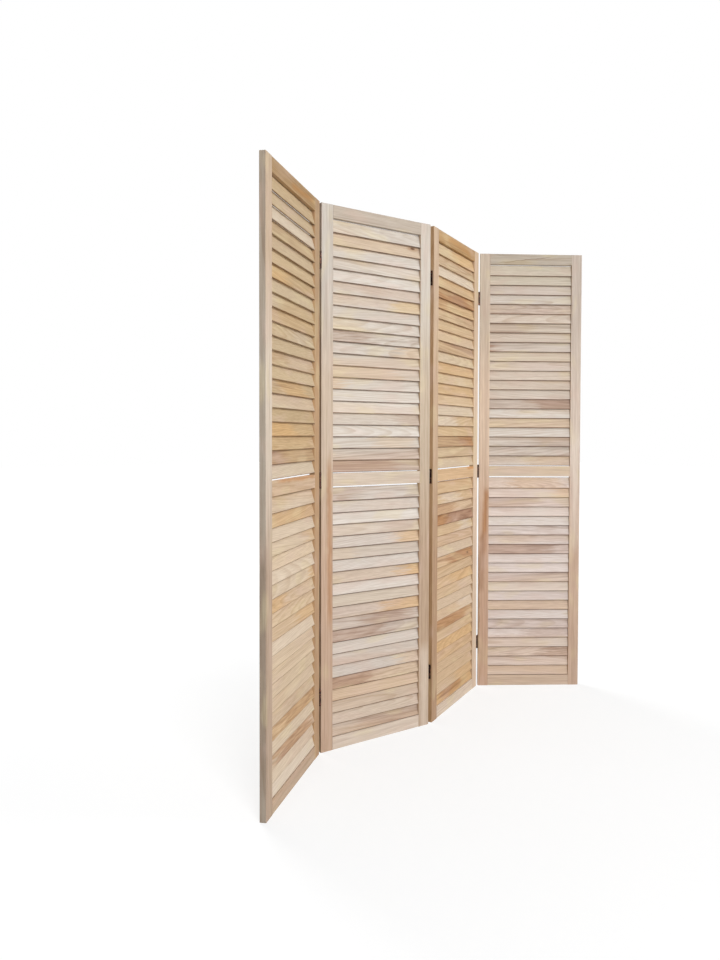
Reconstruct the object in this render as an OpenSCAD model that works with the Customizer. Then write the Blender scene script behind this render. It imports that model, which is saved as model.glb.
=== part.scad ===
// Folding louvred screen in unfinished pine: four equal panels joined by butt hinges.
// Millimetres, +Z up. The origin is on the floor, in the middle of the screen's bounding box.
// Seen from the front (looking along +Y) panel 1 is on the left. The screen stands as a
// zigzag, and a line from its first front corner to its last runs along X.
// Each panel is drawn in a frame of its own: X along its width from the left edge,
// Y from its front face to its back face, Z up from the floor.

/* [Panels] */
// Width of a panel
panel_w = 400; // [300:5:500]
// Height of a panel
panel_h = 1700; // [1200:10:2000]
// Thickness of a panel's frame
panel_t = 18; // [17:0.5:24]
// Radius of the eased edges of the stiles and rails
edge_r = 1.5; // [0.5:0.25:3]

/* [Frame] */
// Width of a stile
stile_w = 40; // [38:1:60]
// Height of a rail
rail_h = 40; // [32:1:80]
// Diameter of the dowels that hold a rail to its stiles
dowel_d = 8; // [6:0.5:9]
// Length of a dowel, half in the rail and half in the stile
dowel_len = 40; // [24:2:44]
// Distance between the two dowels at a rail's end
dowel_spacing = 16; // [12:1:18]
// Chamfer at a dowel's ends
dowel_chamfer = 1; // [0.5:0.25:2]
// Radial clearance of a dowel in its hole
dowel_fit = 0.05; // [0.02:0.01:0.1]
// Empty depth past a dowel's end
dowel_end_gap = 1; // [0.5:0.25:3]

/* [Slats] */
// Width of a slat, over its two rounded edges
slat_w = 44; // [38:0.5:50]
// Thickness of a slat
slat_t = 5.25; // [4.5:0.25:6.5]
// Setback of the slats from the front and back faces of the frame
slat_setback = 1.2; // [0.6:0.1:1.6]
// Least height by which a slat laps the one below it
slat_lap = 5; // [2:0.1:8]
// Depth of the stile's groove for a slat's end
groove_depth = 7; // [5:0.5:10]
// Clearance all round a slat in its groove
groove_fit = 0.15; // [0.05:0.05:0.3]
// Empty depth past a slat's end
groove_end_gap = 0.5; // [0.2:0.1:1.5]
// Slit between the top rail and the slats under it
top_slit = 1.7; // [0.4:0.1:8]
// Slit between the middle rail and the slats over it
over_middle_slit = 2.5; // [0.4:0.1:8]
// Slit between the middle rail and the slats under it
under_middle_slit = 4.8; // [0.4:0.1:8]
// Slit between the bottom rail and the slats over it
bottom_slit = 0.5; // [0.4:0.1:8]

/* [Hinges] */
// Height of a hinge
hinge_h = 50; // [40:1:70]
// Distance from the panel's top or bottom to the middle of its outer hinges
hinge_inset = 175; // [100:5:300]
// Thickness of the sheet that a leaf is rolled from
leaf_t = 1.5; // [1:0.1:2]
// Reach of a leaf from the pin's axis to its far edge
leaf_reach = 15; // [12:0.5:16.5]
// Diameter of the pin
pin_d = 4; // [3:0.25:5]
// Distance of the pin's axis outside the panels' faces
pin_offset = 1.5; // [1:0.25:3]
// Radial clearance of the pin in its knuckles
pin_fit = 0.05; // [0.02:0.01:0.1]
// Diameter of the pin's peened heads
pin_head_d = 5.6; // [5.3:0.1:6.4]
// Height of the pin's peened heads
pin_head_h = 0.8; // [0.4:0.1:1.5]
// Gap between neighbouring knuckles
knuckle_gap = 0.3; // [0.2:0.05:0.6]

/* [Screws] */
// Shank diameter of a screw
screw_d = 3; // [2.5:0.1:3.5]
// Diameter of a screw's head
screw_head_d = 5.6; // [5:0.1:5.8]
// Length of a screw over its head
screw_len = 16; // [10:1:18]
// Distance of a screw from the end of its leaf
screw_inset = 10; // [6:0.5:14]
// Clearance round a screw in the leaf and in the wood
screw_fit = 0.05; // [0.02:0.01:0.1]
// Width of the arms of the cross recess in a screw's head
recess_w = 0.7; // [0.5:0.05:1]
// Span of the cross recess
recess_span = 3; // [2:0.1:3.4]
// Depth of the cross recess
recess_depth = 1; // [0.5:0.1:1.3]

/* [Pose] */
// Bend of the first fold away from flat, in degrees, towards the front
fold_1_bend = 46; // [0:0.5:180]
// Bend of the second fold, towards the back
fold_2_bend = 30.5; // [0:0.5:180]
// Bend of the third fold, towards the front
fold_3_bend = 63; // [0:0.5:180]

/* [Hidden] */
$fn = 48;
panel_count = 4;
fold_count = panel_count - 1;
knuckle_count = 5;
bite = 1; // how far a cutting shape runs past the face that it opens

stile_colour = "#cfb8a2";
rail_colour = "#cbb193";
slat_colour = "#dcc39c";
dowel_colour = "#d9b98c";
hinge_colour = "#54463b";
pin_colour = "#6a5c50";
screw_colour = "#8a7b66";

panel_pieces = ["left_stile", "right_stile", "top_rail", "middle_rail", "bottom_rail",
                "upper_slats", "lower_slats", "dowels"];
levels = ["upper", "middle", "lower"];
sides = ["left", "right"];

function panel_node(panel, piece) = str("panel_", panel, "_", piece);
function leaf_node(fold, level, side) = str("fold_", fold, "_", level, "_", side, "_leaf");
function pins_node(fold) = str("fold_", fold, "_hinge_pins");
function screws_node(fold, side) = str("fold_", fold, "_", side, "_screws");

// --- Slats ---
// A slat leans back as it rises, as far as its setback from both faces lets it.
field_h = (panel_h - 3 * rail_h) / 2;
slat_flat = slat_w - slat_t;
slat_tilt = asin((panel_t - 2 * slat_setback - slat_t) / slat_flat);
slat_rise = slat_flat * cos(slat_tilt) + slat_t;
slat_end = groove_depth - groove_end_gap; // length of a slat's end inside its groove

// The panels are all alike, but every other one is turned over, top to bottom and back to
// front. Its slats still lean the same way, and the slit over a field comes to be under it.
function turned_over(panel) = panel % 2 == 1;
function slits(panel, field) =
    turned_over(panel) ? (field == "upper" ? [under_middle_slit, bottom_slit] : [top_slit, over_middle_slit])
                       : (field == "upper" ? [over_middle_slit, top_slit] : [bottom_slit, under_middle_slit]);

// The heights of a field's slats, at their middles: evenly spaced from slit to slit, and as
// few as keep at least the stated lap.
function field_base(field) = rail_h + (field == "upper" ? field_h + rail_h : 0);
function slat_heights(panel, field) =
    let (below = slits(panel, field)[0],
         above = slits(panel, field)[1],
         run = field_h - below - above - slat_rise,
         steps = ceil(run / (slat_rise - slat_lap)))
    [for (step = [0:steps]) field_base(field) + below + slat_rise / 2 + step * run / steps];

// --- Rails ---
function rail_base(piece) =
    piece == "top_rail" ? panel_h - rail_h :
    piece == "middle_rail" ? (panel_h - rail_h) / 2 : 0;
dowel_heights = [for (piece = ["top_rail", "middle_rail", "bottom_rail"], way = [-1, 1])
    rail_base(piece) + rail_h / 2 + way * dowel_spacing / 2];
dowel_hole_depth = dowel_len / 2 + dowel_end_gap;

// --- Hinges ---
// The leaves lie on the edges of the panels, so the knuckle's radius sets the gap between them.
knuckle_r = pin_d / 2 + leaf_t;
knuckle_h = (hinge_h - (knuckle_count - 1) * knuckle_gap) / knuckle_count;
plate_start = knuckle_r + 2 * knuckle_gap;
screw_row = (plate_start + leaf_reach) / 2;
screw_heights = [screw_inset, hinge_h - screw_inset];
screw_head_h = (screw_head_d - screw_d) / 2;
function hinge_base(level) =
    (level == "upper" ? panel_h - hinge_inset : level == "middle" ? panel_h / 2 : hinge_inset) - hinge_h / 2;

// --- Plan of the zigzag ---
// The pins of the first and third folds are at the front, and those of the second at the back.
fold_bends = [fold_1_bend, fold_2_bend, fold_3_bend];
function pin_at_back(fold) = fold == 2;
function fold_turn(fold) = (pin_at_back(fold) ? 1 : -1) * fold_bends[fold - 1];
function pin_y(fold) = pin_at_back(fold) ? panel_t + pin_offset : -pin_offset;
function turned(v, angle) = [v.x * cos(angle) - v.y * sin(angle), v.x * sin(angle) + v.y * cos(angle)];
function chain_heading(panel) = panel == 1 ? 0 : chain_heading(panel - 1) + fold_turn(panel - 1);
function chain_pin(fold) = chain_corner(fold) + turned([panel_w + knuckle_r, pin_y(fold)], chain_heading(fold));
function chain_corner(panel) = panel == 1 ? [0, 0] :
    chain_pin(panel - 1) - turned([-knuckle_r, pin_y(panel - 1)], chain_heading(panel));
last_corner = chain_corner(panel_count) + turned([panel_w, 0], chain_heading(panel_count));
run_angle = atan2(last_corner.y, last_corner.x);
function heading(panel) = chain_heading(panel) - run_angle;

// The middle of the bounding box, from the centres of the eased corners.
eased_corners = [for (panel = [1:panel_count], x = [edge_r, panel_w - edge_r], y = [edge_r, panel_t - edge_r])
    turned(chain_corner(panel), -run_angle) + turned([x, y], heading(panel))];
corner_x = [for (corner = eased_corners) corner.x];
corner_y = [for (corner = eased_corners) corner.y];
middle = [min(corner_x) + max(corner_x), min(corner_y) + max(corner_y)] / 2;
function place(panel) = turned(chain_corner(panel), -run_angle) - middle;
function pin_place(fold) = turned(chain_pin(fold), -run_angle) - middle;

echo(slats_per_field = len(slat_heights(1, "upper")), slat_tilt = slat_tilt, slat_rise = slat_rise);
echo(pins = [for (fold = [1:fold_count]) pin_place(fold)]);
echo(panels = [for (panel = [1:panel_count]) [place(panel), heading(panel)]]);

// --- Shared shapes ---
// A board's section with eased corners: two crossed rectangles and four discs.
module eased_section(width, depth) {
    translate([edge_r, 0]) square([width - 2 * edge_r, depth]);
    translate([0, edge_r]) square([width, depth - 2 * edge_r]);
    for (x = [edge_r, width - edge_r], y = [edge_r, depth - edge_r])
        translate([x, y]) circle(r = edge_r);
}

// Pushes a section drawn in Y and Z along X, from one place to another.
module along_x(from, to) {
    translate([min(from, to), 0, 0]) rotate([90, 0, 90]) linear_extrude(abs(to - from)) children();
}

// A slat's section: a flat board with full round edges, leaning back as it rises.
module slat_section(grow = 0) {
    thickness = slat_t + 2 * grow;
    rotate(-slat_tilt) {
        square([thickness, slat_flat], center = true);
        for (way = [-1, 1]) translate([0, way * slat_flat / 2]) circle(d = thickness);
    }
}

module on_panel(panel) {
    translate([place(panel).x, place(panel).y, 0]) rotate(heading(panel)) children();
}

// --- Frame pieces ---
// Which way is into the stile from its inner edge, and where that edge is.
function inward(side) = side == "left" ? -1 : 1;
function inner_edge(side) = side == "left" ? stile_w : panel_w - stile_w;
function outer_edge(side) = side == "left" ? 0 : panel_w;
function fold_beside(panel, side) = side == "left" ? panel - 1 : panel;
function has_fold(panel, side) = fold_beside(panel, side) >= 1 && fold_beside(panel, side) <= fold_count;

module stile(panel, side) {
    inner = inner_edge(side);
    into = inward(side);
    color(stile_colour) difference() {
        translate([min(inner, outer_edge(side)), 0, 0]) linear_extrude(panel_h) eased_section(stile_w, panel_t);
        for (field = ["upper", "lower"], height = slat_heights(panel, field))
            translate([0, panel_t / 2, height])
                along_x(inner - into * bite, inner + into * groove_depth) slat_section(groove_fit);
        for (height = dowel_heights) translate([0, panel_t / 2, height])
            along_x(inner - into * bite, inner + into * dowel_hole_depth) circle(d = dowel_d + 2 * dowel_fit);
        if (has_fold(panel, side)) pilot_holes(fold_beside(panel, side), side);
    }
}

// Screw holes in the outer edge of a stile, one for each screw of its three leaves.
module pilot_holes(fold, side) {
    outer = outer_edge(side);
    depth = screw_len - leaf_t + bite;
    for (level = levels, height = screw_heights)
        translate([0, pin_y(fold) + (pin_at_back(fold) ? -1 : 1) * screw_row, hinge_base(level) + height])
            along_x(outer + inward(side) * bite, outer - inward(side) * depth) circle(d = screw_d + 2 * screw_fit);
}

module rail(piece) {
    color(rail_colour) translate([0, 0, rail_base(piece)]) difference() {
        along_x(stile_w, panel_w - stile_w) eased_section(panel_t, rail_h);
        for (side = sides, way = [-1, 1])
            translate([0, panel_t / 2, rail_h / 2 + way * dowel_spacing / 2])
                along_x(inner_edge(side) + inward(side) * bite, inner_edge(side) - inward(side) * dowel_hole_depth)
                    circle(d = dowel_d + 2 * dowel_fit);
    }
}

module slats(panel, field) {
    color(slat_colour) for (height = slat_heights(panel, field))
        translate([0, panel_t / 2, height]) along_x(stile_w - slat_end, panel_w - stile_w + slat_end) slat_section();
}

module dowel() {
    straight = dowel_len - 2 * dowel_chamfer;
    rotate([0, 90, 0]) {
        cylinder(d = dowel_d, h = straight, center = true);
        for (way = [0, 1]) mirror([0, 0, way]) translate([0, 0, straight / 2])
            cylinder(d1 = dowel_d, d2 = dowel_d - 2 * dowel_chamfer, h = dowel_chamfer);
    }
}

module dowels() {
    color(dowel_colour) for (side = sides, height = dowel_heights)
        translate([inner_edge(side), panel_t / 2, height]) dowel();
}

// --- Hinge pieces ---
// These are drawn for the panel on a fold's left: the pin's axis stands at the origin, the
// leaf's outer face lies on the panel's edge at X = -knuckle_r, and the leaf reaches along Y.
module hinge_leaf(own_knuckles) {
    color(hinge_colour) difference() {
        union() {
            translate([-knuckle_r, plate_start, 0]) cube([leaf_t, leaf_reach - plate_start, hinge_h]);
            for (knuckle = own_knuckles) translate([0, 0, knuckle * (knuckle_h + knuckle_gap)]) {
                cylinder(r = knuckle_r, h = knuckle_h);
                translate([-knuckle_r, 0, 0]) cube([leaf_t, plate_start + bite, knuckle_h]);
            }
        }
        translate([0, 0, -bite]) cylinder(d = pin_d + 2 * pin_fit, h = hinge_h + 2 * bite);
        for (height = screw_heights) translate([leaf_t - knuckle_r, screw_row, height]) screw_space();
    }
}

// The countersunk hole that a screw needs in its leaf.
module screw_space() {
    rotate([0, -90, 0]) {
        translate([0, 0, -bite]) cylinder(d = screw_d + 2 * screw_fit, h = leaf_t + 2 * bite);
        cylinder(d1 = screw_head_d + 2 * screw_fit, d2 = screw_d + 2 * screw_fit, h = screw_head_h);
    }
}

module hinge_pin() {
    color(pin_colour) {
        cylinder(d = pin_d, h = hinge_h);
        translate([0, 0, hinge_h]) cylinder(d1 = pin_head_d, d2 = pin_d, h = pin_head_h);
        translate([0, 0, -pin_head_h]) cylinder(d1 = pin_d, d2 = pin_head_d, h = pin_head_h);
    }
}

// A countersunk wood screw along -X, with the top of its head at the origin.
module wood_screw() {
    tip_h = screw_d;
    color(screw_colour) rotate([0, -90, 0]) difference() {
        union() {
            cylinder(d1 = screw_head_d, d2 = screw_d, h = screw_head_h);
            cylinder(d = screw_d, h = screw_len - tip_h);
            translate([0, 0, screw_len - tip_h]) cylinder(d1 = screw_d, d2 = 0, h = tip_h);
        }
        for (turn = [0, 90]) rotate(turn) translate([-recess_span / 2, -recess_w / 2, -bite])
            cube([recess_span, recess_w, recess_depth + bite]);
    }
}

// Moves a hinge piece to its pin, in the frame of the panel that carries it. The pieces for a
// panel on the fold's right are mirrored in X, and those of a fold with its pin at the back in Y.
module at_pin(fold, side, height) {
    on_panel(side == "left" ? fold : fold + 1)
        translate([side == "left" ? panel_w + knuckle_r : -knuckle_r, pin_y(fold), height])
            mirror([side == "right" ? 1 : 0, 0, 0]) mirror([0, pin_at_back(fold) ? 1 : 0, 0]) children();
}

function knuckles_of(side) = [for (knuckle = [0:knuckle_count - 1])
    if ((knuckle % 2 == 0) == (side == "left")) knuckle];

module leaf(fold, level, side) {
    at_pin(fold, side, hinge_base(level)) hinge_leaf(knuckles_of(side));
}

module hinge_pins(fold) {
    for (level = levels) at_pin(fold, "left", hinge_base(level)) hinge_pin();
}

module screws(fold, side) {
    for (level = levels, height = screw_heights) at_pin(fold, side, hinge_base(level) + height)
        translate([leaf_t - knuckle_r, screw_row, 0]) wood_screw();
}

// --- The screen ---
for (panel = [1:panel_count]) {
    on_panel(panel) stile(panel, "left");
    on_panel(panel) stile(panel, "right");
    on_panel(panel) rail("top_rail");
    on_panel(panel) rail("middle_rail");
    on_panel(panel) rail("bottom_rail");
    on_panel(panel) slats(panel, "upper");
    on_panel(panel) slats(panel, "lower");
    on_panel(panel) dowels();
}
for (fold = [1:fold_count]) {
    for (level = levels, side = sides)
        leaf(fold, level, side);
    hinge_pins(fold);
    for (side = sides)
        screws(fold, side);
}
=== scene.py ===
import math
from functools import partial

import bpy
import numpy as np
from mathutils import Matrix, Vector


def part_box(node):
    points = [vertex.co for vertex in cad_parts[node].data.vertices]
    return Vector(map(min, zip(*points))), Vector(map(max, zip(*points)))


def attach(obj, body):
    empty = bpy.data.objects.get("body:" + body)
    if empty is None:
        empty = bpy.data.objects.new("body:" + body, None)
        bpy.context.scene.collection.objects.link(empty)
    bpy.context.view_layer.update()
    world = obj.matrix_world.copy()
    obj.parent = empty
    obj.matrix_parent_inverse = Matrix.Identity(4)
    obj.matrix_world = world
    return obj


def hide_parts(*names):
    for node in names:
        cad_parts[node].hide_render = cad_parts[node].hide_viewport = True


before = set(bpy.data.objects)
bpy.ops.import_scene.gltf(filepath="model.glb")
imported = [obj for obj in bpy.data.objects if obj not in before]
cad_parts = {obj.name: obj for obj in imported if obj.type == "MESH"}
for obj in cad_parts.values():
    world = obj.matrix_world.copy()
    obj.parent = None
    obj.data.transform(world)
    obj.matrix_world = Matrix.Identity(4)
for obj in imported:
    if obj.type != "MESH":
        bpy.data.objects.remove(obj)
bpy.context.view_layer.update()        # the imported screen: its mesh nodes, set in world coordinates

print("frame loaded:", len(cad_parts), "nodes")


def linear(hexColour):
    # an sRGB hex colour as the linear one that a shader takes: a straight line near black, and
    # a power of 2.4 above it
    parts = [int(hexColour[i:i + 2], 16) / 255 for i in (1, 3, 5)]
    return tuple(c / 12.92 if c <= 0.04045 else ((c + 0.055) / 1.055) ** 2.4 for c in parts) + (1.0,)


smooth = {"interpolation_type": "SMOOTHSTEP"}      # a ramp that eases in and out


def addNode(tree, kind, inputs={}, **settings):
    # A node with its settings. An input goes by its name, or by its number where names repeat,
    # and takes a value, an output, or a node, which stands for its first live output.
    node = tree.nodes.new(kind)
    for key, value in settings.items():
        setattr(node, key, value)
    live = [socket for socket in node.inputs if socket.enabled]
    for key, value in inputs.items():
        socket = live[key] if isinstance(key, int) else next(s for s in live if s.name == key)
        if isinstance(value, bpy.types.Node):
            value = next(s for s in value.outputs if s.enabled)
        if isinstance(value, bpy.types.NodeSocket):
            tree.links.new(value, socket)
        else:
            socket.default_value = value
    return node


def newMaterial(name):
    # a material with an empty node tree
    material = bpy.data.materials.new(name)
    material.use_nodes = True
    material.node_tree.nodes.clear()
    return material


# The screen's own sizes, in metres. Its four panels stand as a zigzag, and every other one is
# turned over, and its slats with it.
screen = {"panels": 4, "width": 0.4, "height": 1.7, "depth": 0.018, "stile": 0.04}


def panelFrame(panel):
    # a panel's bottom middle and its heading: the middles of its two stiles lie on its width
    left, right = (np.mean(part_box(f"panel_{panel + 1}_{side}_stile"), axis=0)
                   for side in ("left", "right"))
    middle = (left + right) / 2
    return (middle[0], middle[1], 0.0), math.atan2(right[1] - left[1], right[0] - left[0])


# The camera stands at the photo's own viewpoint, to the left of the screen and at chest height.
viewpoint = {
    "place": (-1.69233, -1.71879, 0.99422), "yaw": 43.7568, "pitchDown": 1.4233, "roll": 0.3209,
    "focalPixels": 713.57, "centre": (446.878, 451.955), "image": (720, 960),
    "sensor": 36, "sees": 60,                      # millimetres of film, and metres of view
}


def makeCamera(v):
    # looks along the yaw, tipped down by the pitch, and then turned about its own line of sight
    yaw, pitch, roll = (math.radians(v[k]) for k in ("yaw", "pitchDown", "roll"))
    ahead = Vector((math.cos(yaw), math.sin(yaw), 0))
    forward = ahead * math.cos(pitch) - Vector((0, 0, math.sin(pitch)))
    level = Vector((math.sin(yaw), -math.cos(yaw), 0))
    upright = ahead * math.sin(pitch) + Vector((0, 0, math.cos(pitch)))
    right = level * math.cos(roll) + upright * math.sin(roll)
    up = upright * math.cos(roll) - level * math.sin(roll)
    data = bpy.data.cameras.new("viewpoint")
    width, height = v["image"]
    data.sensor_width = v["sensor"]
    data.lens = v["focalPixels"] * v["sensor"] / height      # the long side is the upright one
    data.shift_x = (width / 2 - v["centre"][0]) / height
    data.shift_y = (v["centre"][1] - height / 2) / height
    data.clip_end = v["sees"]
    camera = bpy.data.objects.new("viewpoint", data)
    bpy.context.scene.collection.objects.link(camera)
    camera.matrix_world = Matrix((right, up, -forward)).transposed().to_4x4()
    camera.location = v["place"]
    bpy.context.scene.camera = camera


makeCamera(viewpoint)
print("camera set")

# Scots pine, planed and sanded and left without any finish: cream sapwood, tan to golden
# heart, soft rings with a darker late band, hardly a knot, and no gloss at all.
pineFigure = {
    "ringWidth": 0.0040,      # metres from ring to ring, coarser than most so that it shows
    "wander": 0.012,          # how far a ring strays from a true circle, in metres
    "noises": {               # features in a metre along and across the grain, and their detail
        "slow": (2.2, 12, 2.0),        # swings of the stem, about 450 mm long
        "patch": (7, 20, 1.0),         # tone patches, about 140 by 50 mm
        "streak": (3.0, 130, 2.0),     # streaks 8 mm wide
        "fibre": (14, 520, 3.0),       # fibres 2 mm wide, drawn coarse to show
    },
    "shares": {               # the noise that a tone follows, two values of it, and its share at each
        "rosyHeart": ("slow", 0.42, 0.62, 0.0, 1.0),
        "rosy": ("patch", 0.55, 0.72, 0.0, 0.26),
        "yellow": ("patch", 0.43, 0.30, 0.0, 0.26),
        "streak": ("streak", 0.40, 0.72, 0.0, 1.0),
        "hair": ("fibre", 0.35, 0.65, 0.20, 0.0),
    },
    "heart": "#d9b88c", "heartRosy": "#ccab95", "heartShare": 0.26,
    "heartEdge": (0.053, 0.071), "heartStray": 0.03,          # metres from the pith
    "rosy": "#d8c0b4", "yellow": "#e2d6ae", "streak": "#9d7a62", "hair": "#b29a82",
    "late": "#c6aa88", "lateShare": (0.09, 0.30),             # in a faint year and in a strong one
    "lateRise": (0.25, 0.88), "lateDrop": (0.90, 1.0),        # as shares of the ring
    "knot": "#64442d", "knotCells": (2.4, 5.0, 5.0),          # knots in a metre of log
    "knotCore": (0.018, 0.034), "knotShare": 0.85,            # where in its cell a knot is dark,
    "knotBend": (0.02, 0.12), "knotPush": 0.009,              # and where and how far it bends the rings
    "bumpStrength": 0.35, "bump": 0.0004, "fibreLift": 0.6,   # metres from the early wood to the late
    "rough": (0.74, 0.62), "roughFibres": (0.3, 0.7), "ior": 1.45, "specular": 0.22,
}


def pine(name, board, p=pineFigure):
    # Works in the log, where x runs along the grain and the pith lies on y = z = 0. board(tree)
    # gives the board's tone, how dark its streaks are, and its place in the log in metres.
    # A ring is the distance from the pith, strayed by a slow noise and bent round knots,
    # divided by the ring's width; its late band darkens slowly and ends at once.
    material = newMaterial(name)
    tree = material.node_tree
    add = partial(addNode, tree)
    tone, streaks, place = board(tree)

    noises, shares = {}, {}
    for key, (along, across, detail) in p["noises"].items():
        spot = add("ShaderNodeVectorMath", {0: place, 1: (along, across, across)}, operation="MULTIPLY")
        noises[key] = add("ShaderNodeTexNoise", {"Vector": spot, "Scale": 1.0, "Detail": detail})
    for key, (noise, first, last, atFirst, atLast) in p["shares"].items():
        shares[key] = add("ShaderNodeMapRange", {
            "Value": noises[noise], "From Min": first, "From Max": last,
            "To Min": atFirst, "To Max": atLast}, **smooth)

    cells = add("ShaderNodeVectorMath", {0: place, 1: p["knotCells"]}, operation="MULTIPLY")
    knotGap = add("ShaderNodeTexVoronoi", {"Vector": cells, "Scale": 1.0})
    knotCore, knotPush = (
        add("ShaderNodeMapRange", {"Value": knotGap, "From Min": near, "From Max": far,
                                   "To Min": most, "To Max": 0.0}, **smooth)
        for (near, far), most in ((p["knotCore"], p["knotShare"]), (p["knotBend"], p["knotPush"])))

    flat = add("ShaderNodeVectorMath", {0: place, 1: (0, 1, 1)}, operation="MULTIPLY")
    fromPith = add("ShaderNodeVectorMath", {0: flat}, operation="LENGTH")
    strayed = add("ShaderNodeMath", {0: noises["slow"], 1: p["wander"], 2: fromPith},
                  operation="MULTIPLY_ADD")
    bent = add("ShaderNodeMath", {0: strayed, 1: knotPush}, operation="ADD")
    rings = add("ShaderNodeMath", {0: bent, 1: p["ringWidth"]}, operation="DIVIDE")
    phase = add("ShaderNodeMath", {0: rings}, operation="FRACT")
    year = add("ShaderNodeMath", {0: rings}, operation="FLOOR")
    season = add("ShaderNodeTexWhiteNoise", {"W": year}, noise_dimensions="1D")
    strength = add("ShaderNodeMapRange", {
        "Value": season, "To Min": p["lateShare"][0], "To Max": p["lateShare"][1]})
    rise = add("ShaderNodeMapRange", {
        "Value": phase, "From Min": p["lateRise"][0], "From Max": p["lateRise"][1]}, **smooth)
    drop = add("ShaderNodeMapRange", {
        "Value": phase, "From Min": p["lateDrop"][0], "From Max": p["lateDrop"][1],
        "To Min": 1.0, "To Max": 0.0}, **smooth)
    band = add("ShaderNodeMath", {0: rise, 1: drop}, operation="MULTIPLY")
    late = add("ShaderNodeMath", {0: band, 1: strength}, operation="MULTIPLY")

    # the heartwood's edge follows the rings, roughly, and cuts a board on the slant
    heartwood = add("ShaderNodeMath", {0: noises["patch"], 1: p["heartStray"], 2: strayed},
                    operation="MULTIPLY_ADD")
    heart = add("ShaderNodeMapRange", {
        "Value": heartwood, "From Min": p["heartEdge"][0], "From Max": p["heartEdge"][1],
        "To Min": p["heartShare"], "To Max": 0.0}, **smooth)
    heartTone = add("ShaderNodeMix", {
        "Factor": shares["rosyHeart"], "A": linear(p["heart"]), "B": linear(p["heartRosy"])},
        data_type="RGBA")
    darkShare = add("ShaderNodeMath", {0: shares["streak"], 1: streaks}, operation="MULTIPLY")

    layers = [("MIX", heart, heartTone), ("MIX", shares["rosy"], linear(p["rosy"])),
              ("MIX", shares["yellow"], linear(p["yellow"])), ("MULTIPLY", late, linear(p["late"])),
              ("MULTIPLY", darkShare, linear(p["streak"])),
              ("MULTIPLY", shares["hair"], linear(p["hair"])), ("MIX", knotCore, linear(p["knot"]))]
    colour = tone
    for way, share, over in layers:
        colour = add("ShaderNodeMix", {"Factor": share, "A": colour, "B": over},
                     data_type="RGBA", blend_type=way)

    lifted = add("ShaderNodeMath", {0: noises["fibre"], 1: p["fibreLift"], 2: late},
                 operation="MULTIPLY_ADD")
    bump = add("ShaderNodeBump", {
        "Strength": p["bumpStrength"], "Distance": p["bump"], "Height": lifted})
    rough = add("ShaderNodeMapRange", {
        "Value": noises["fibre"], "From Min": p["roughFibres"][0], "From Max": p["roughFibres"][1],
        "To Min": p["rough"][0], "To Max": p["rough"][1]})
    shader = add("ShaderNodeBsdfPrincipled", {
        "Base Color": colour, "Roughness": rough, "IOR": p["ior"],
        "Specular IOR Level": p["specular"], "Normal": bump})
    add("ShaderNodeOutputMaterial", {"Surface": shader})
    return material


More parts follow.
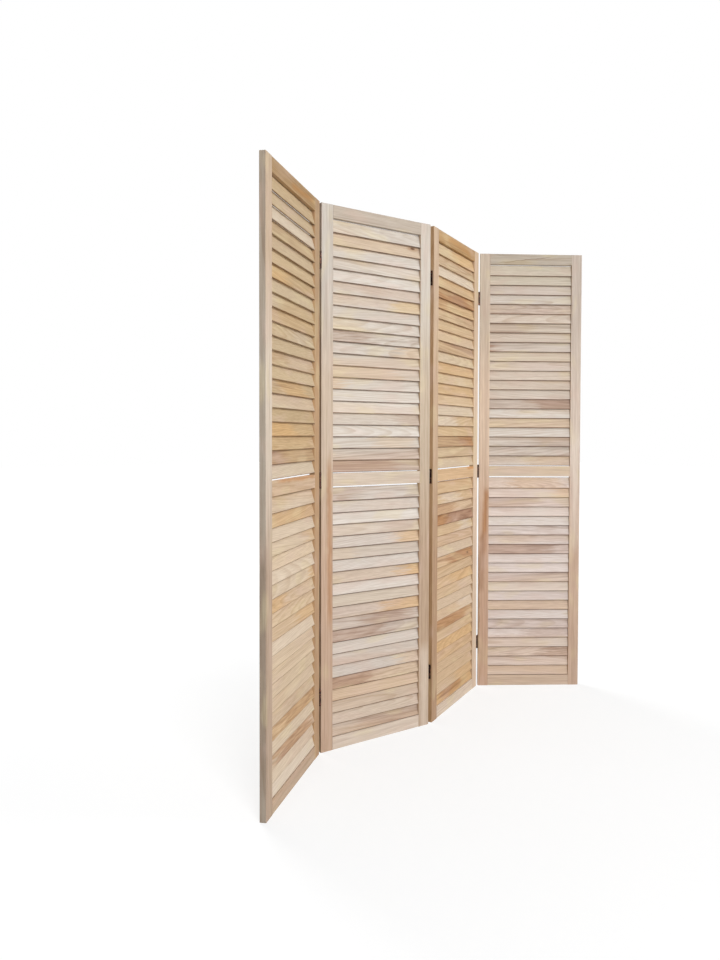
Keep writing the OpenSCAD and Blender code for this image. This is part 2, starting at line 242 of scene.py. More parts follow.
# The slats are boards of 44 by 5.5 mm with full round edges, leaning back as they rise. Nobody
# sorted them: each has its own tone and comes from its own place in the log.
slatMake = {
    "width": 0.0443, "thickness": 0.0055, "setback": 0.0012, "intoGroove": 0.0065, "count": 21,
    "stations": 5, "roundPoints": 5, "seed": 30,
    "turnWithinGroove": 0.15, "twist": 0.4,          # degrees, from slat to slat and end to end
    "bow": 0.0005, "lift": 0.0002,                   # metres
    "pithNear": 0.018, "pithFar": 0.125, "grainSlope": 0.07, "logLength": 40,
    "usual": {                # tone of most boards in each panel's upper and lower field
        (0, "upper"): "#c9b492", (0, "lower"): "#dccab2", (1, "upper"): "#cfc8bf",
        (1, "lower"): "#d1c8c0", (2, "upper"): "#d2bd9e", (2, "lower"): "#d2b99a",
        (3, "upper"): "#dcd5cd", (3, "lower"): "#e7dedb",
    },
    "towards": {              # tones that boards stray towards, and how dark their streaks are
        "chalky": ("#e6e2dc", 0.05), "golden": ("#d9b37f", 0.15), "rosy": ("#b1917c", 0.35),
        # the last tone is painted shade, for boards that a rail shades
        "straw": ("#dbc8a3", 0.12), "umber": ("#b4855a", 0.45), "dun": ("#c1b893", 0.12),
    },
    "common": 4,                                     # boards that aren't marked take the first four
    "strayed": 0.09, "strayedMost": 0.4,             # how far a board's tone strays
    "patchShare": 0.18, "patchShareMost": 0.6,       # and how far in its patch of other wood
    "patchStart": (-0.4, 0.9), "patchLength": (0.2, 0.6),      # as shares of the board's length
    "patchSlant": 1.2, "patchRagged": 0.18, "patchEdge": (0.05, 0.13),         # ends, in metres
    "patchFibres": (12, 170, 170),                   # fibres 6 mm wide make a patch's ends ragged
    "streaksUsual": 0.12, "streaksSpread": (0.3, 1.6), "lightness": (0.96, 1.03),
    # boards that stand out, counted from the top: tone and share, and then the tone and share of
    # a patch, and where along the board it starts and ends
    "marked": {
        (0, "upper"): {
            3: ("chalky", 0.40), 4: ("rosy", 0.12), 7: ("golden", 0.15, "golden", 0.50, -1, 0.4),
            8: ("chalky", 0.15), 10: ("golden", 0.15), 15: ("rosy", 0.10, "golden", 0.45, 0.2, 0.75),
            16: ("chalky", 0.30), 18: ("golden", 0.30, "golden", 0.65, -1, 0.5), 19: ("golden", 0.15),
            20: ("umber", 0.25, "rosy", 0.55, -1, 0.3), 21: ("chalky", 0.35),
        },
        (0, "lower"): {
            2: ("golden", 0.55), 3: ("chalky", 0.15), 4: ("chalky", 0.05, "golden", 0.40, 0.8, 2),
            6: ("chalky", 0.20), 7: ("chalky", 0.10, "golden", 0.60, 0.85, 2),
            8: ("straw", 0.10, "golden", 0.60, -1, 0.3), 9: ("golden", 0.20),
            10: ("golden", 0.25, "golden", 0.45, 0.6, 2), 11: ("chalky", 0.20), 14: ("straw", 0.15),
            17: ("golden", 0.50, "umber", 0.35, 0.3, 2), 18: ("chalky", 0.10),
            19: ("chalky", 0.05, "umber", 0.60, 0.1, 0.95), 21: ("chalky", 0.35),
        },
        (1, "upper"): {
            1: ("chalky", 0.15, "straw", 0.25, -1, 0.4), 2: ("golden", 0.35), 3: ("chalky", 0.35),
            5: ("chalky", 0.45), 7: ("chalky", 0.30, "straw", 0.75, 0.70, 2),
            9: ("chalky", 0.10, "straw", 0.40, -1, 0.3), 10: ("chalky", 0.05, "rosy", 0.35, -1, 0.45),
            11: ("chalky", 0.05, "golden", 0.35, 0.75, 2),
            13: ("golden", 0.12, "golden", 0.25, -1, 0.7),
            14: ("chalky", 0.20, "golden", 0.40, -1, 0.15), 15: ("chalky", 0.30), 16: ("chalky", 0.60),
            18: ("chalky", 0.45), 19: ("chalky", 0.20, "golden", 0.25, 0.5, 0.85), 20: ("rosy", 0.10),
            21: ("rosy", 0.20, "rosy", 0.50, -1, 0.7),
        },
        (1, "lower"): {
            1: ("chalky", 0.10, "rosy", 0.35, -1, 0.25), 3: ("chalky", 0.60),
            5: ("chalky", 0.15, "golden", 0.60, 0.74, 2), 7: ("chalky", 0.35),
            8: ("golden", 0.22, "golden", 0.70, 0.78, 2), 9: ("chalky", 0.40), 10: ("straw", 0.25),
            11: ("chalky", 0.10, "golden", 0.65, 0.58, 2), 12: ("rosy", 0.15, "rosy", 0.50, 0.40, 0.85),
            13: ("rosy", 0.15, "rosy", 0.50, -1, 0.6), 14: ("chalky", 0.10),
            16: ("chalky", 0.15, "golden", 0.35, 0.75, 2), 17: ("golden", 0.40, "rosy", 0.75, -1, 0.45),
            18: ("golden", 0.45), 19: ("golden", 0.30), 20: ("chalky", 0.15),
            21: ("golden", 0.15, "rosy", 0.40, 0.3, 2),
        },
        (2, "upper"): {
            1: ("straw", 0.20, "golden", 0.55, 0.4, 2), 2: ("rosy", 0.25), 3: ("chalky", 0.40),
            4: ("golden", 0.25), 5: ("umber", 0.80, "rosy", 0.45, 0.3, 0.7),
            6: ("golden", 0.40, "umber", 0.35, -1, 0.25), 7: ("golden", 0.10, "rosy", 0.30, 0.5, 2),
            9: ("chalky", 0.15), 10: ("rosy", 0.25), 11: ("chalky", 0.15), 12: ("golden", 0.45),
            14: ("golden", 0.40), 16: ("chalky", 0.30), 17: ("golden", 0.10, "chalky", 0.40, -1, 0.5),
            18: ("golden", 0.25), 19: ("umber", 0.35, "umber", 0.65, 0.7, 2), 21: ("chalky", 0.20),
        },
        (2, "lower"): {
            1: ("golden", 0.20), 2: ("golden", 0.10, "chalky", 0.35, 0.15, 0.6),
            3: ("chalky", 0.10, "umber", 0.45, -1, 0.5), 4: ("umber", 0.85, "rosy", 0.90, 0.3, 2),
            5: ("golden", 0.10, "chalky", 0.45, 0.65, 0.9), 7: ("chalky", 0.25),
            8: ("golden", 0.15, "umber", 0.85, 0.35, 2), 10: ("golden", 0.15, "golden", 0.40, 0.4, 2),
            12: ("chalky", 0.20), 13: ("chalky", 0.15, "chalky", 0.45, 0.6, 2),
            14: ("golden", 0.15, "umber", 0.70, -1, 0.8), 16: ("golden", 0.60), 17: ("golden", 0.20),
            20: ("chalky", 0.05, "golden", 0.45, 0.5, 2),
            21: ("golden", 0.60, "umber", 0.55, 0.15, 0.75),
        },
        (3, "upper"): {
            # the two top boards take painted shade from the top rail
            1: ("dun", 0.32), 2: ("dun", 0.30), 4: ("chalky", 0.05), 5: ("rosy", 0.12),
            6: ("golden", 0.15), 7: ("straw", 0.20, "rosy", 0.30, -1, 0.5), 8: ("golden", 0.15),
            9: ("rosy", 0.10, "rosy", 0.85, -1, 0.07), 10: ("straw", 0.35), 11: ("chalky", 0.30),
            13: ("golden", 0.15), 15: ("rosy", 0.25, "rosy", 0.60, 0.5, 2), 16: ("chalky", 0.60),
            17: ("golden", 0.40), 18: ("chalky", 0.60), 19: ("chalky", 0.20, "rosy", 0.35, 0.58, 2),
            20: ("rosy", 0.12), 21: ("chalky", 0.05, "golden", 0.30, 0.5, 2),
        },
        (3, "lower"): {
            1: ("chalky", 0.10, "golden", 0.35, 0.3, 0.9), 2: ("golden", 0.15, "golden", 0.45, 0.8, 2),
            3: ("chalky", 0.10, "rosy", 0.40, -1, 0.6), 5: ("chalky", 0.40),
            6: ("chalky", 0.10, "rosy", 0.25, 0.6, 0.85), 8: ("rosy", 0.20, "rosy", 0.60, -1, 0.8),
            9: ("chalky", 0.10), 11: ("rosy", 0.20), 12: ("straw", 0.25), 14: ("golden", 0.45),
            15: ("chalky", 0.15), 16: ("rosy", 0.25), 18: ("golden", 0.15, "chalky", 0.40, 0.6, 2),
            19: ("golden", 0.30, "rosy", 0.55, 0.7, 2), 21: ("golden", 0.35),
        },
    },
    "knots": {                # how far along, and metres above the board's middle
        (1, "upper", 2): (0.90, 0.011), (2, "lower", 8): (0.85, -0.004),
    },
    "noKnot": 40.0,           # metres off, on a board that has none
    "knotLength": 2.2,        # how many times as long as high it is
    "knotRings": ((0.0135, 0.45, "#a8805a"), (0.0054, 0.90, "#64442d")),    # reach in metres, share
    "knotFade": 0.4,          # the share of its reach within which a ring is whole
    # painted shade on the round edges, so that the gaps between the slats read dark, in each panel in turn
    "edgeShadeBrown": ("#85592f", "#663e20", "#8a5e33", "#6a4224"), "edgeShadeShare": 0.96,
    "edgeShadeSpread": (2.2, 0.9, 3.0, 1.0),
    # painted shade darkens the corner by the right stile, where the stile shades the slats' ends, on the
    # edges alone or on the faces too, in each panel in turn
    "cornerShadeShare": (0.85, 0.45, 0.85, 0.60), "cornerShadeFaces": (0.0, 1.0, 0.0, 1.0),
    "cornerShadeReach": (0.020, 0.004, 0.024, 0.004), "cornerShadeTone": "#4d3320",
    "cornerShadeFrom": 1.0, "cornerShadeFull": 0.1,              # as shares of its reach
}


def slatBoards(panel, field, slatNode, seed):
    # A slat is a stadium section, two half circles joined by flats, turned by the slat's lean
    # and carried along its length. Bow and lift are a parabola in the way along, twist a cubic.
    s, rng = slatMake, np.random.default_rng(seed)
    count, stations = s["count"], s["stations"]
    flat = s["width"] - s["thickness"]
    lean = math.asin((screen["depth"] - 2 * s["setback"] - s["thickness"]) / flat)
    rise = flat * math.cos(lean) + s["thickness"]
    lowest, highest = (corner[2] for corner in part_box(slatNode))
    middles = np.linspace(lowest + rise / 2, highest - rise / 2, count)
    stileEdge = screen["width"] / 2 - screen["stile"]
    halfLength = stileEdge + s["intoGroove"]

    half = np.linspace(0, math.pi, s["roundPoints"])
    around = np.concatenate([half, half + math.pi])
    side = np.repeat([1, -1], s["roundPoints"])
    thick = s["thickness"] / 2 * np.cos(around)
    across = side * flat / 2 + s["thickness"] / 2 * np.sin(around)

    way = np.linspace(-1, 1, stations)[None, :, None]          # slats, stations, section points
    each = lambda spread: rng.uniform(-spread, spread, (count, 1, 1))
    turn = lean + np.radians(each(s["turnWithinGroove"]) + each(s["twist"]) * way * (1 - way ** 2) * 2)
    sagging = 1 - way ** 2
    y = thick * np.cos(turn) + across * np.sin(turn) + each(s["bow"]) * sagging
    z = across * np.cos(turn) - thick * np.sin(turn) + middles[:, None, None]
    z = z + each(s["lift"]) * sagging
    zero = 0 * y                                               # gives what it's added to every point
    x = way * halfLength + zero
    (placeX, placeY, _), heading = panelFrame(panel)
    points = np.stack([placeX + x * math.cos(heading) - y * math.sin(heading),
                       placeY + x * math.sin(heading) + y * math.cos(heading), z], -1)

    # the slat's place in its log: a turn about the grain, the pith's distance, a slight slope
    roll, aim = rng.uniform(0, 2 * math.pi, (2, count, 1, 1))
    pith = rng.uniform(s["pithNear"], s["pithFar"], (count, 1, 1))
    logY = across * np.cos(roll) - thick * np.sin(roll) + pith * np.cos(aim) + each(s["grainSlope"]) * x
    logZ = across * np.sin(roll) + thick * np.cos(roll) + pith * np.sin(aim) + each(s["grainSlope"]) * x
    logX = x + rng.uniform(0, s["logLength"], (count, 1, 1))
    places = np.stack([logX, logY, logZ], -1)

    # the slat's tone, with how dark its streaks are as the fourth channel, and a patch of other
    # wood: how far inside its two slanted ends a point lies, and how strong it is
    names = list(s["towards"])
    palette = np.array([linear(s["towards"][name][0]) for name in names])
    towards, patchTowards = rng.integers(0, s["common"], (2, count))
    share = np.minimum(np.abs(rng.normal(0, s["strayed"], count)), s["strayedMost"])
    streaks = s["streaksUsual"] * rng.uniform(*s["streaksSpread"], count)
    patchShare = np.minimum(np.abs(rng.normal(0, s["patchShare"], count)), s["patchShareMost"])
    starts = rng.uniform(*s["patchStart"], count)
    stops = starts + rng.uniform(*s["patchLength"], count)
    knots = np.full((count, 2), s["noKnot"])
    for fromTop, (name, far, *patch) in s["marked"][(panel, field)].items():
        towards[-fromTop], share[-fromTop], patchShare[-fromTop] = names.index(name), far, 0
        streaks[-fromTop] = s["towards"][name][1]
        if patch:
            name, patchShare[-fromTop], starts[-fromTop], stops[-fromTop] = patch
            patchTowards[-fromTop] = names.index(name)
            streaks[-fromTop] = max(streaks[-fromTop], s["towards"][name][1])
    for (atPanel, atField, fromTop), (far, above) in s["knots"].items():
        if (atPanel, atField) == (panel, field):
            knots[-fromTop] = (far * 2 - 1) * halfLength, above
    usual = np.array(linear(s["usual"][(panel, field)]))
    picked = usual + (palette[towards] - usual) * share[:, None]
    picked[:, :3] *= rng.uniform(*s["lightness"], (count, 1))
    # painted shade: the round edges are darkened in the slat's own tone
    edge = np.tile(np.abs(np.sin(half)) ** s["edgeShadeSpread"][panel], 2)
    edgeShade = s["edgeShadeShare"] * edge[:, None] * (1 - np.array(linear(s["edgeShadeBrown"][panel])))
    colours, patchColours = (tone[:, None, None, :] * (1 - edgeShade) + zero[..., None]
                             for tone in (picked, palette[patchTowards]))
    colours[..., 3] = streaks[:, None, None]
    slanted = x + each(s["patchSlant"]) * across
    starts, stops = (((end * 2 - 1) * halfLength)[:, None, None] for end in (starts, stops))
    patches = np.stack([slanted - starts, stops - slanted, patchShare[:, None, None] + zero], -1)
    knotAlong, knotAcross = knots.T[:, :, None, None]
    toKnots = np.stack([(x - knotAlong) / s["knotLength"], across - knotAcross + zero, zero], -1)

    # how near the right stile a point is, and how much of the corner's painted shade its place takes
    onSection = np.maximum(edge, s["cornerShadeFaces"][panel])
    corners = np.stack([(stileEdge - x) / s["cornerShadeReach"][panel],
                        s["cornerShadeShare"][panel] * onSection + zero, zero], -1)

    index = np.arange(x.size).reshape(x.shape)
    ahead = np.roll(index, -1, axis=2)
    walls = np.stack([index[:, :-1], ahead[:, :-1], ahead[:, 1:], index[:, 1:]], -1).reshape(-1, 4)
    ends = np.concatenate([index[:, 0, ::-1], index[:, -1, :]])
    mesh = bpy.data.meshes.new(slatNode + "_pine")
    mesh.from_pydata(points.reshape(-1, 3).tolist(), [], walls.tolist() + ends.tolist())
    mesh.polygons.foreach_set("use_smooth", np.repeat([True, False], [len(walls), len(ends)]))
    for name, values in (("logPlace", places), ("patch", patches), ("toKnot", toKnots),
                         ("corner", corners)):
        mesh.attributes.new(name, "FLOAT_VECTOR", "POINT").data.foreach_set("vector", values.ravel())
    for name, values in (("tone", colours), ("patchTone", patchColours)):
        mesh.attributes.new(name, "FLOAT_COLOR", "POINT").data.foreach_set("color", values.ravel())
    mesh.materials.append(slatPine)
    mesh.update()
    boards = bpy.data.objects.new(slatNode + "_pine", mesh)
    bpy.context.scene.collection.objects.link(boards)
    keepFlats = boards.modifiers.new("keepFlats", "WEIGHTED_NORMAL")
    keepFlats.keep_sharp = True
    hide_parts(slatNode)
    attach(boards, f"panel_{panel + 1}")


def slatBoard(tree):
    # A slat carries its tone, its streaks, its place in the log, its patch and the way to its
    # knot in its mesh. A patch's ends stray from fibre to fibre, a knot is a dark core in a
    # brown ring, and the painted shade in the corner is strongest at the stile.
    s, add = slatMake, partial(addNode, tree)
    tone, place, patch, patchTone, toKnot, corner = (
        add("ShaderNodeAttribute", attribute_name=name)
        for name in ("tone", "logPlace", "patch", "patchTone", "toKnot", "corner"))
    ends = add("ShaderNodeSeparateXYZ", {0: patch.outputs["Vector"]}).outputs
    inside = add("ShaderNodeMath", {0: ends["X"], 1: ends["Y"]}, operation="MINIMUM")
    fibres = add("ShaderNodeVectorMath", {0: place.outputs["Vector"], 1: s["patchFibres"]},
                 operation="MULTIPLY")
    ragged = add("ShaderNodeTexNoise", {"Vector": fibres, "Scale": 1.0, "Detail": 2.0})
    strayed = add("ShaderNodeMath", {0: ragged, 1: s["patchRagged"], 2: inside}, operation="MULTIPLY_ADD")
    share = add("ShaderNodeMapRange", {
        "Value": strayed, "From Min": s["patchEdge"][0], "From Max": s["patchEdge"][1],
        "To Max": ends["Z"]}, **smooth)
    colour = add("ShaderNodeMix", {
        "Factor": share, "A": tone.outputs["Color"], "B": patchTone.outputs["Color"]}, data_type="RGBA")
    away = add("ShaderNodeVectorMath", {0: toKnot.outputs["Vector"]}, operation="LENGTH")
    for reach, amount, brown in s["knotRings"]:
        near = add("ShaderNodeMapRange", {
            "Value": away, "From Min": reach, "From Max": reach * s["knotFade"],
            "To Max": amount}, **smooth)
        colour = add("ShaderNodeMix", {"Factor": near, "A": colour, "B": linear(brown)}, data_type="RGBA")
    # painted shade in the corner by the right stile
    fromStile = add("ShaderNodeSeparateXYZ", {0: corner.outputs["Vector"]}).outputs
    paintedShade = add("ShaderNodeMapRange", {
        "Value": fromStile["X"], "From Min": s["cornerShadeFrom"], "From Max": s["cornerShadeFull"],
        "To Max": fromStile["Y"]}, **smooth)
    colour = add("ShaderNodeMix", {"Factor": paintedShade, "A": colour, "B": linear(s["cornerShadeTone"])},
                 data_type="RGBA")
    return colour, tone.outputs["Alpha"], place.outputs["Vector"]


slatPine = pine("bare_pine_slats", slatBoard)
for panel in range(screen["panels"]):
    for nth, field in enumerate(("upper", "lower")):
        slatBoards(panel, field, f"panel_{panel + 1}_{field}_slats", slatMake["seed"] + 2 * panel + nth)
print("slats made")

# Stiles and rails are planed from the same bare pine, the grain along each. A stile's tone
# drifts from its foot to its top. Its outer edge is greyer at the screen's two ends, and takes a
# brown painted shade inside the folds. The grooved edges take a browner painted shade.
frameMake = {
    "grainSlope": 1.2,        # degrees
    "pithNear": 0.030, "pithFar": 0.090, "logLength": 40, "streaks": 0.20, "seed": 60,
    # painted shade: the edges in the folds and the grooved edges are darkened where they lie in shade
    "endEdge": "#aba194", "foldEdgeShades": ("#7a5d3b", "#b0906a", "#9a7c55"), "outerShare": 0.85,
    "groovedEdgeShade": "#bb9a74", "groovedShadeShare": 0.60,
    "facing": (0.55, 0.90),   # how squarely a face turns to an edge's way as it takes that tone
    "drift": ((0.55, 1.0), (1.1, 1.5)),              # heights of the tone's change, in metres
    "stiles": {               # tone at the bottom, half way up and at the top
        (0, "left"): ("#c1ac9a", "#dcd1c3", "#cdb9a2"), (0, "right"): ("#c1a283", "#c2a280", "#b79c7e"),
        (1, "left"): ("#c9b09c", "#cbbcab", "#cac5be"), (1, "right"): ("#bfa892", "#cabba8", "#d1cbc2"),
        (2, "left"): ("#b99b80", "#ccb39a", "#cfb8a0"), (2, "right"): ("#dfcdba", "#dcc9b3", "#d2bda4"),
        (3, "left"): ("#cfb19b", "#dfcbb8", "#cfc3b4"), (3, "right"): ("#d0b7a4", "#dbcec3", "#cbc0b6"),
    },
    "rails": {                # on each panel in turn
        "top_rail": ("#ad916c", "#c0b6aa", "#b49368", "#bfb6a9"),
        "middle_rail": ("#d3bb9f", "#d4c7b8", "#d9bb97", "#dccfbf"),
        "bottom_rail": ("#cdb8a2", "#ddd0c3", "#e2d3c2", "#d8c4b1"),
    },
    # streaks of resin and of heartwood: from where to where on the panel, across and up, how far
    # to each side, in metres, and their tone and share
    "marks": {
        (0, "left_stile"): [((0.0, 0.02), (0.0, 0.78), 0.012, "#86705c", 0.40)],
        (0, "top_rail"): [((0.16, 1.672), (0.37, 1.683), 0.016, "#b98446", 0.50)],
        (0, "middle_rail"): [((0.06, 0.868), (0.38, 0.865), 0.010, "#c4874e", 0.60)],
        (1, "left_stile"): [((0.030, 0.36), (0.027, 0.95), 0.013, "#b07c48", 0.55)],
        (1, "right_stile"): [((0.382, -0.10), (0.380, 0.30), 0.030, "#e4d9cc", 0.60)],
        (2, "top_rail"): [((0.10, 1.690), (0.33, 1.674), 0.016, "#b5803f", 0.45)],
        (2, "middle_rail"): [((0.29, 0.868), (0.44, 0.864), 0.010, "#cd8d4c", 0.65)],
        (3, "left_stile"): [((0.030, 0.80), (0.020, 0.50), 0.018, "#ad7740", 0.70),
                            ((0.016, 0.62), (0.013, 0.36), 0.018, "#a0785c", 0.50),
                            ((0.002, 0.55), (0.002, 0.10), 0.006, "#8f6d4c", 0.60)],
        (3, "right_stile"): [((0.380, 0.50), (0.380, 1.05), 0.030, "#efe6dc", 0.50)],
        (3, "top_rail"): [((0.054, 1.664), (0.300, 1.693), 0.0014, "#6f5542", 0.90)],
    },
    "markWaver": 0.012, "markRipples": 26.0,         # metres to the side, ripples in a metre
    "markFade": 0.35,         # how far from its middle a streak is whole, as a share of its length
}


def logMapping(panel, upright, height, seed):
    # Turns Object coordinates into the panel's own frame, then so that the board's length
    # becomes x, then by a random turn about it and a slight slope, and sets the pith aside.
    f, rng = frameMake, np.random.default_rng(seed)
    middle, heading = panelFrame(panel)
    intoPanel = Matrix.Rotation(-heading, 3, "Z")
    alongGrain = Matrix(((0, 0, 1), (1, 0, 0), (0, 1, 0)) if upright
                        else ((1, 0, 0), (0, 0, 1), (0, -1, 0)))
    slope = [math.radians(a) for a in rng.uniform(-f["grainSlope"], f["grainSlope"], 2)]
    intoLog = (Matrix.Rotation(rng.uniform(0, 2 * math.pi), 3, "X") @ Matrix.Rotation(slope[0], 3, "Y")
               @ Matrix.Rotation(slope[1], 3, "Z") @ alongGrain)
    distance, aim = rng.uniform(f["pithNear"], f["pithFar"]), rng.uniform(0, 2 * math.pi)
    pith = Vector((rng.uniform(0, f["logLength"]), distance * math.cos(aim), distance * math.sin(aim)))
    turn = intoLog @ intoPanel
    return turn.to_euler(), pith - turn @ Vector((middle[0], middle[1], height))


def streakAlong(tree, spot, panel, tone, start, stop, width, over, amount):
    # The streak is a line on the panel's face: a point's way across it is its place's dot
    # product with the line's normal, and its way along it fades the streak out at both ends.
    f, add = frameMake, partial(addNode, tree)
    middle, heading = panelFrame(panel)
    ahead = np.array([math.cos(heading), math.sin(heading), 0])
    corner = np.array(middle) - screen["width"] / 2 * ahead
    start, stop = (corner + far * ahead + (0, 0, up) for far, up in (start, stop))
    length = np.linalg.norm(stop - start)
    along = (stop - start) / length
    normal = np.cross(along, (math.sin(heading), -math.cos(heading), 0))
    fromStart = add("ShaderNodeVectorMath", {0: spot, 1: tuple(start)}, operation="SUBTRACT")
    waver = add("ShaderNodeTexNoise", {"Vector": spot, "Scale": f["markRipples"], "Detail": 2.0})
    aside = add("ShaderNodeVectorMath", {0: fromStart, 1: tuple(normal)}, operation="DOT_PRODUCT")
    strayed = add("ShaderNodeMath", {0: waver, 1: f["markWaver"], 2: aside}, operation="MULTIPLY_ADD")
    centred = add("ShaderNodeMath", {0: strayed, 1: f["markWaver"] / 2}, operation="SUBTRACT")
    offLine = add("ShaderNodeMath", {0: centred}, operation="ABSOLUTE")
    beside = add("ShaderNodeMapRange", {
        "Value": offLine, "From Min": width, "From Max": 0.0, "To Max": amount}, **smooth)
    way = add("ShaderNodeVectorMath", {0: fromStart, 1: tuple(along)}, operation="DOT_PRODUCT")
    fromMiddle = add("ShaderNodeMath", {0: way, 1: length / 2}, operation="SUBTRACT")
    beyond = add("ShaderNodeMath", {0: fromMiddle}, operation="ABSOLUTE")
    faded = add("ShaderNodeMapRange", {
        "Value": beyond, "From Min": length / 2, "From Max": length * f["markFade"]}, **smooth)
    share = add("ShaderNodeMath", {0: beside, 1: faded}, operation="MULTIPLY")
    return add("ShaderNodeMix", {"Factor": share, "A": tone, "B": linear(over)}, data_type="RGBA")


def dressMember(panel, piece, upright, height, tones, seed, edges):
    # The tone slides with the height from one of three to the next, and an edge takes its own
    # by the dot product of the face's normal and the edge's way.
    f, (euler, location) = frameMake, logMapping(panel, upright, height, seed)

    def frameBoard(tree):
        add = partial(addNode, tree)
        spot = add("ShaderNodeTexCoord").outputs
        up = add("ShaderNodeSeparateXYZ", {0: spot["Object"]}).outputs["Z"]
        tone = linear(tones[0])
        for (low, high), upper in zip(f["drift"], tones[1:]):
            share = add("ShaderNodeMapRange", {"Value": up, "From Min": low, "From Max": high}, **smooth)
            tone = add("ShaderNodeMix", {"Factor": share, "A": tone, "B": linear(upper)}, data_type="RGBA")
        for way, edgeTone, amount in edges:
            facing = add("ShaderNodeVectorMath", {0: spot["Normal"], 1: way}, operation="DOT_PRODUCT")
            turned = add("ShaderNodeMapRange", {
                "Value": facing, "From Min": f["facing"][0], "From Max": f["facing"][1],
                "To Max": amount}, **smooth)
            tone = add("ShaderNodeMix", {"Factor": turned, "A": tone, "B": linear(edgeTone)},
                       data_type="RGBA")
        for mark in f["marks"].get((panel, piece), []):
            tone = streakAlong(tree, spot["Object"], panel, tone, *mark)
        place = add("ShaderNodeMapping", {
            "Vector": spot["Object"], "Rotation": euler, "Location": location})
        return tone, f["streaks"], place

    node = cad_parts[f"panel_{panel + 1}_{piece}"]
    node.data.materials.clear()
    node.data.materials.append(pine(f"bare_pine_{node.name}", frameBoard))


for panel in range(screen["panels"]):
    f, heading = frameMake, panelFrame(panel)[1]
    right, seed = Vector((math.cos(heading), math.sin(heading), 0)), f["seed"] + 10 * panel
    for side, way in (("left", -1), ("right", 1)):
        atEnd = (panel, side) in ((0, "left"), (screen["panels"] - 1, "right"))
        # the edges inside the folds take painted shade
        outer = f["endEdge"] if atEnd else f["foldEdgeShades"][panel - (side == "left")]
        edges = [(tuple(right * way), outer, f["outerShare"]),
                 (tuple(right * -way), f["groovedEdgeShade"], f["groovedShadeShare"])]
        dressMember(panel, side + "_stile", True, screen["height"] / 2, f["stiles"][(panel, side)],
                    seed + way, edges)
    for nth, (rail, tones) in enumerate(f["rails"].items()):
        height = sum(corner[2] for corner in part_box(f"panel_{panel + 1}_{rail}")) / 2
        dressMember(panel, rail, False, height, (tones[panel],) * 3, seed + 3 + nth, [])
print("frames dressed")

# The dowels are turned beech, hidden in the corners of the frames.
dowelMake = {
    "tone": "#dcb98e", "fleck": "#b98d63", "fleckShare": 0.6, "rough": 0.6, "ior": 1.45,
    "flecksPerMetre": 260, "fleckFrom": 0.5, "fleckTo": 0.7,
}


def beech(name, d):
    # short dark flecks, 4 mm apart, on an even pinkish tan
    material = newMaterial(name)
    add = partial(addNode, material.node_tree)
    spot = add("ShaderNodeTexCoord").outputs["Object"]
    flecks = add("ShaderNodeTexNoise", {"Vector": spot, "Scale": d["flecksPerMetre"], "Detail": 3.0})
    share = add("ShaderNodeMapRange", {
        "Value": flecks, "From Min": d["fleckFrom"], "From Max": d["fleckTo"], "To Max": d["fleckShare"]})
    colour = add("ShaderNodeMix", {"Factor": share, "A": linear(d["tone"]), "B": linear(d["fleck"])},
                 data_type="RGBA")
    shader = add("ShaderNodeBsdfPrincipled", {
        "Base Color": colour, "Roughness": d["rough"], "IOR": d["ior"]})
    add("ShaderNodeOutputMaterial", {"Surface": shader})
    return material


turnedBeech = beech("turned_beech", dowelMake)

# The hinges are rolled steel, bronzed in a bath: a dark red brown with a dull sheen, rubbed
# to a lighter one where hands and the other leaf touch. The screws are bronzed as well.
hingeMake = {
    "dark": "#35231c", "rubbed": "#7d5040", "metallic": 0.55, "patchesPerMetre": 140,
    "rubbedFrom": 0.46, "rubbedTo": 0.72,
    "rough": 0.45, "dullest": 0.12, "smoothest": -0.10, "dullFrom": 0.3, "smoothFrom": 0.7,
    "gritPerMetre": 2600.0, "gritHeight": 0.0001, "gritStrength": 0.25,     # grit of 0.4 mm
}
screwMake = {**hingeMake, "dark": "#4a382b", "rubbed": "#8f7b66", "metallic": 0.75, "rough": 0.35,
             "patchesPerMetre": 420}


def bronzedSteel(name, h):
    # soft rubbed patches over the bath's dark tone, a little smoother, and a fine grit
    material = newMaterial(name)
    add = partial(addNode, material.node_tree)
    spot = add("ShaderNodeTexCoord").outputs["Object"]
    patches = add("ShaderNodeTexNoise", {"Vector": spot, "Scale": h["patchesPerMetre"], "Detail": 4.0})
    grit = add("ShaderNodeTexNoise", {"Vector": spot, "Scale": h["gritPerMetre"], "Detail": 2.0})
    share = add("ShaderNodeMapRange", {
        "Value": patches, "From Min": h["rubbedFrom"], "From Max": h["rubbedTo"]}, **smooth)
    colour = add("ShaderNodeMix", {"Factor": share, "A": linear(h["dark"]), "B": linear(h["rubbed"])},
                 data_type="RGBA")
    rough = add("ShaderNodeMapRange", {
        "Value": patches, "From Min": h["dullFrom"], "From Max": h["smoothFrom"],
        "To Min": h["rough"] + h["dullest"], "To Max": h["rough"] + h["smoothest"]})
    bump = add("ShaderNodeBump", {
        "Strength": h["gritStrength"], "Distance": h["gritHeight"], "Height": grit})
    shader = add("ShaderNodeBsdfPrincipled", {
        "Base Color": colour, "Metallic": h["metallic"], "Roughness": rough, "Normal": bump})
    add("ShaderNodeOutputMaterial", {"Surface": shader})
    return material


bronzedLeaf = bronzedSteel("bronzed_steel_hinge", hingeMake)
bronzedScrew = bronzedSteel("bronzed_steel_screw", screwMake)
for name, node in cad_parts.items():
    finish = (turnedBeech if name.endswith("dowels") else bronzedScrew if name.endswith("screws")
              else bronzedLeaf if name.startswith("fold") else None)
    if finish:
        node.data.materials.clear()
        node.data.materials.append(finish)
print("hinges and dowels dressed")

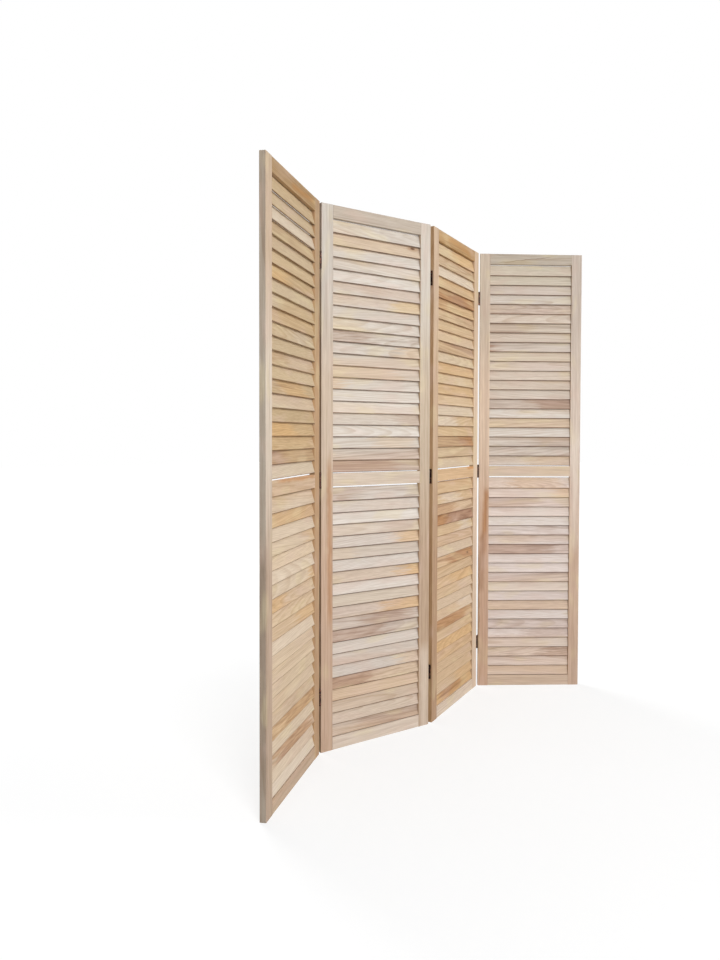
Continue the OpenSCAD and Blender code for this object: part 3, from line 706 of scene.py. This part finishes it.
# A plain pale floor and soft light. The floor shows white round the object and keeps its
# shadow; far off it glows a little more, where the lamps no longer reach it.
studio = {
    "floorSize": 40, "floor": "#e4e4e3", "floorShown": "#a2a4a6", "white": "#ffffff",
    "glowNear": 0.67, "glowFar": 0.95, "near": 1.2, "far": 5.0,      # metres from the object
    "world": "#f8f8f8", "worldLevel": 0.36,
    "lamps": {                # place, aim, width, power in watts, colour
        "front": ((-1.9, -3.9, 2.4), (0.0, 0.0, 0.85), 1.6, 118, "#fffdfb"),
        "right": ((2.6, -3.2, 2.3), (0.0, 0.0, 0.8), 1.6, 60, "#fffcf8"),
        "back": ((0.3, 3.3, 3.0), (0.0, 0.0, 0.85), 2.2, 105, "#fffdfa"),
    },
}


def seenRays(tree):
    # 1 for rays that show the background, seen straight or in a reflection or through glass
    add = partial(addNode, tree)
    path = add("ShaderNodeLightPath").outputs
    reflected = add("ShaderNodeMath", {0: path["Is Camera Ray"], 1: path["Is Glossy Ray"]},
                    operation="MAXIMUM")
    return add("ShaderNodeMath", {0: reflected, 1: path["Is Transmission Ray"]}, operation="MAXIMUM")


def makeStudio(s):
    # The floor is one square that glows by the distance from the object's middle, the world is
    # an even dome, and a lamp is a square that faces its aim.
    material = newMaterial("pale_floor")
    add = partial(addNode, material.node_tree)
    spot = add("ShaderNodeTexCoord").outputs["Object"]
    away = add("ShaderNodeVectorMath", {0: spot}, operation="LENGTH")
    glow = add("ShaderNodeMapRange", {
        "Value": away, "From Min": s["near"], "From Max": s["far"],
        "To Min": s["glowNear"], "To Max": s["glowFar"]}, **smooth)
    lit = add("ShaderNodeBsdfDiffuse", {"Color": linear(s["floor"])})
    shown = add("ShaderNodeBsdfDiffuse", {"Color": linear(s["floorShown"])})
    glowing = add("ShaderNodeEmission", {"Color": linear(s["white"]), "Strength": glow})
    pale = add("ShaderNodeAddShader", {0: shown, 1: glowing})
    floorShader = add("ShaderNodeMixShader", {0: seenRays(material.node_tree), 1: lit, 2: pale})
    add("ShaderNodeOutputMaterial", {"Surface": floorShader})
    half = s["floorSize"] / 2
    mesh = bpy.data.meshes.new("pale_floor")
    corners = [(-half, -half, 0), (half, -half, 0), (half, half, 0), (-half, half, 0)]
    mesh.from_pydata(corners, [], [(0, 1, 2, 3)])
    mesh.materials.append(material)
    floor = bpy.data.objects.new("pale_floor", mesh)
    bpy.context.scene.collection.objects.link(floor)

    world = bpy.data.worlds.new("studio")
    world.use_nodes = True
    world.node_tree.nodes.clear()
    add = partial(addNode, world.node_tree)
    dim = add("ShaderNodeBackground", {"Color": linear(s["world"]), "Strength": s["worldLevel"]})
    bright = add("ShaderNodeBackground", {"Color": linear(s["white"]), "Strength": 1.0})
    sky = add("ShaderNodeMixShader", {0: seenRays(world.node_tree), 1: dim, 2: bright})
    add("ShaderNodeOutputWorld", {"Surface": sky})
    bpy.context.scene.world = world

    for name, (place, aim, width, power, colour) in s["lamps"].items():
        lamp = bpy.data.lights.new(name, "AREA")
        lamp.size, lamp.energy, lamp.color = width, power, linear(colour)[:3]
        holder = bpy.data.objects.new(name, lamp)
        bpy.context.scene.collection.objects.link(holder)
        holder.location = place
        holder.rotation_euler = (Vector(aim) - Vector(place)).to_track_quat("-Z", "Y").to_euler()


makeStudio(studio)
bpy.context.scene.view_settings.view_transform = "Standard"
print("studio lit")
